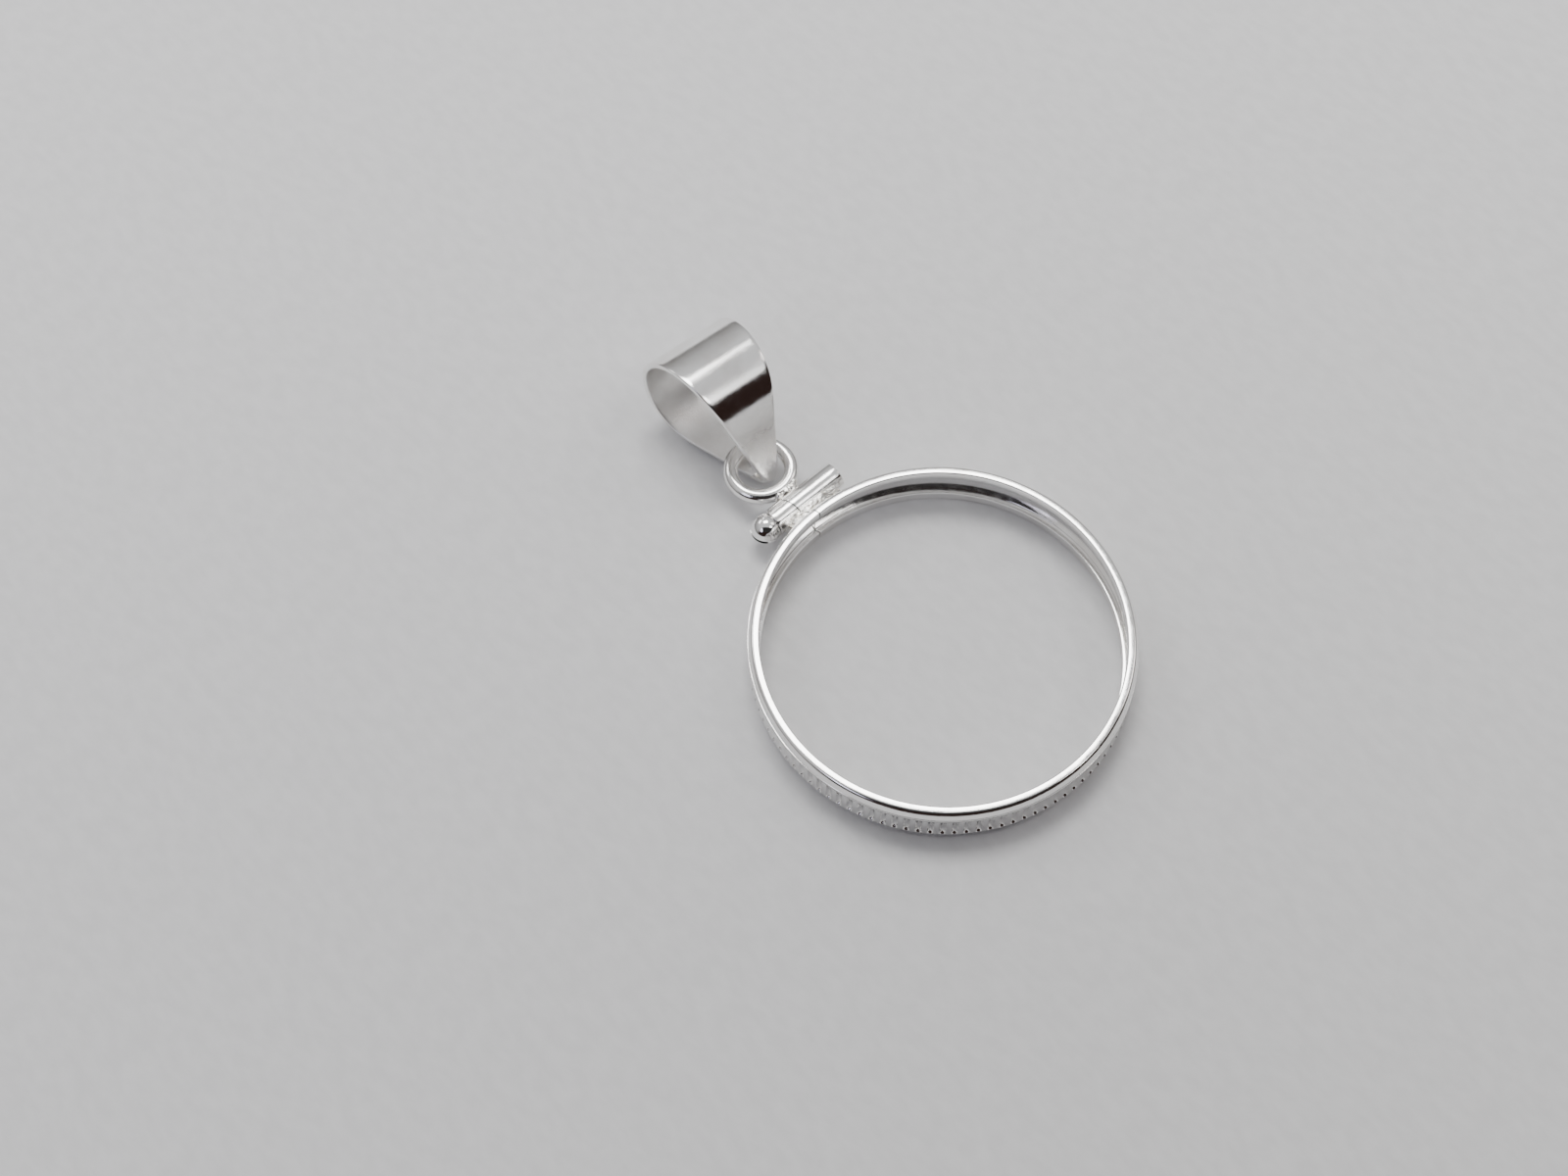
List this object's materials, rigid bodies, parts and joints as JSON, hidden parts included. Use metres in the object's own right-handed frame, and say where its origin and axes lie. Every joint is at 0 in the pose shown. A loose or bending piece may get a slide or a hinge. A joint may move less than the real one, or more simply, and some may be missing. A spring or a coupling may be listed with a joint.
{
  "type": "screw-top coin bezel pendant",
  "caption": "Screw-top coin bezel: a grooved silver band with a reeded edge that a small screw draws closed round a coin, with a soldered jump ring and a tapered bail for a chain.",
  "frame": {"origin": "on the coin's axis, in the plane of the face that the band lies on (the bail's loop comes down to within 0.03 mm of it)", "axes": "+Z along the coin's axis, up from the face it lies on; +Y from the coin's centre to the closure and the bail; +X along the closure tube, from the screw head to the threaded half"},
  "size_m": [0.0186, 0.0294, 0.0063],
  "materials": {
    "polished_band": "bright polished sterling-look silver, fine turning lines inside and on the lips",
    "polished_tube": "bright polished silver, drawn tube",
    "solder": "silver solder, satin, slightly grainy",
    "screw": "bright polished silver",
    "ring_wire": "bright polished silver wire",
    "bail_strip": "polished silver outside, satin grain near the tip and inside"
  },
  "bodies": {
    "right_side": {"band_right": "polished_band", "closure_tube_threaded": "polished_tube", "solder_saddle_right": "solder", "jump_ring": "ring_wire", "jump_ring_solder": "solder"},
    "left_side": {"band_left": "polished_band", "closure_tube_plain": "polished_tube", "solder_saddle_left": "solder"},
    "screw": {"closure_screw": "screw"},
    "bail_loop": {"bail": "bail_strip", "bail_tip_solder": "solder"}
  },
  "joints": [
    {"name": "band_open", "type": "hinge", "parent": "right_side", "child": "left_side", "pos_m": [0, -0.00928, 0.0013], "axis": [0, 0, 1], "range_deg": [0, 5.9]},
    {"name": "screw_turn", "type": "hinge", "parent": "left_side", "child": "screw", "pos_m": [-0.00165, 0.01036, 0.0013], "axis": [-1, 0, 0], "range_deg": [0, 2914]},
    {"name": "bail_swing", "type": "hinge", "parent": "right_side", "child": "bail_loop", "pos_m": [0.00027, 0.01418, 0.0015], "axis": [0.9823, -0.1874, 0], "range_deg": [-90, 50]}
  ],
  "couplings": [
    {"joint": "screw_turn", "follows": "band_open", "ratio": 493.61}
  ]
}
